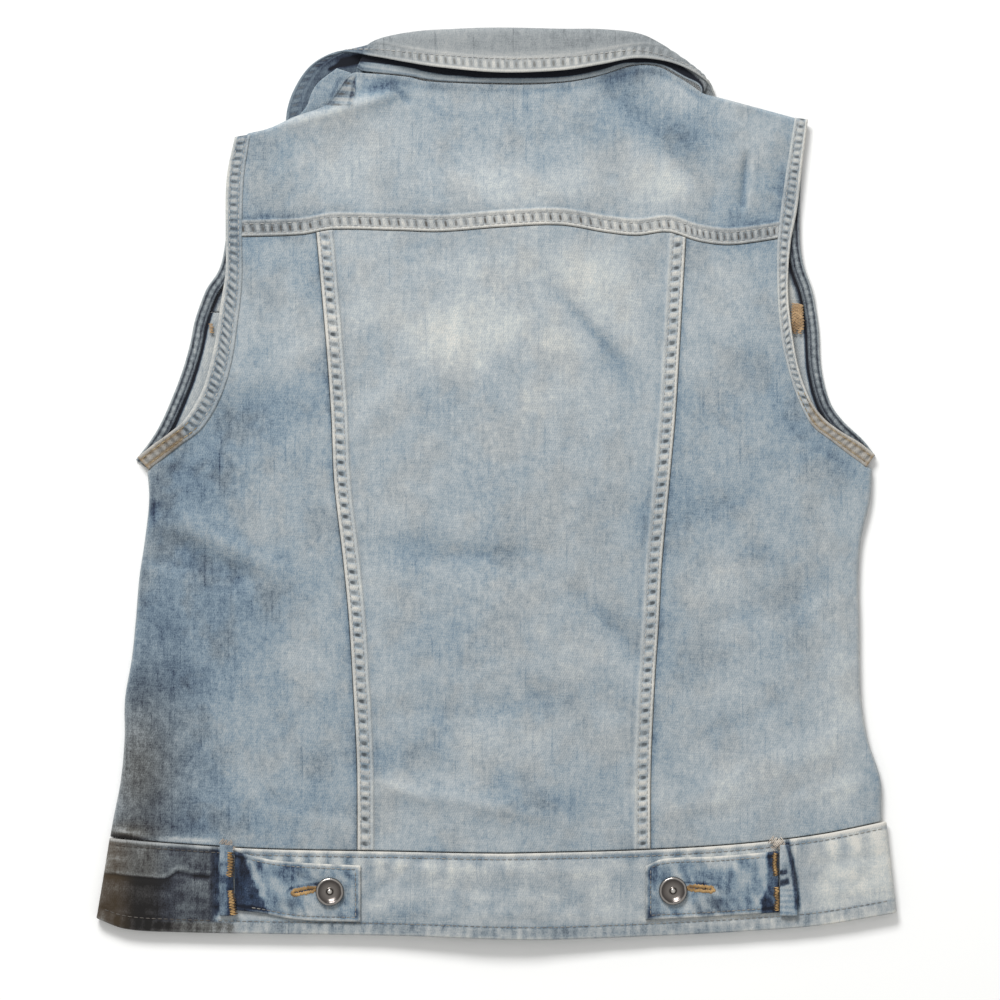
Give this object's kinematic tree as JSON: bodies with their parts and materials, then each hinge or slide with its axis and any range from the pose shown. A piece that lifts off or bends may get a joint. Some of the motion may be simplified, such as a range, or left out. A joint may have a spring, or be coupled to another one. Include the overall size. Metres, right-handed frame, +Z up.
{
  "type": "denim vest",
  "caption": "Women's sleeveless denim vest laid flat with its back up: shaped back panels, yoke, turned collar, waistband with button tabs.",
  "frame": {"origin": "on the table, under the middle of the garment's outline", "axes": "+Y from the hem to the collar, +X across the garment to the right as seen from above its back, +Z up from the table through the front and then the back"},
  "size_m": [0.4798, 0.5464, 0.0124],
  "materials": {
    "back_denim": "light-wash stretch denim, faded in the middle",
    "front_denim": "light-wash stretch denim",
    "binding_denim": "light-wash denim, two rows of stitching",
    "collar_denim": "greyed light-wash denim",
    "waistband_denim": "light-wash denim with darker ends",
    "tab_denim": "less faded denim",
    "button_metal": "dark plated shank button"
  },
  "bodies": {
    "root": {"back_centre": "back_denim", "back_side_left": "back_denim", "back_side_right": "back_denim", "back_yoke": "back_denim", "armhole_band_back_left": "binding_denim", "armhole_band_back_right": "binding_denim", "armhole_band_front_left": "binding_denim", "armhole_band_front_right": "binding_denim", "collar": "collar_denim", "waistband": "waistband_denim", "tab_left": "tab_denim", "tab_right": "tab_denim", "tab_loop_left": "tab_denim", "tab_loop_right": "tab_denim", "tab_button_left": "button_metal", "tab_button_right": "button_metal", "front_left": "front_denim", "front_right": "front_denim", "front_yoke_left": "front_denim", "front_yoke_right": "front_denim", "front_placket_left": "front_denim", "front_placket_right": "front_denim", "front_button_1": "button_metal", "front_button_2": "button_metal", "front_button_3": "button_metal", "front_button_4": "button_metal", "front_button_5": "button_metal", "front_button_6": "button_metal", "front_button_7": "button_metal"}
  },
  "joints": []
}
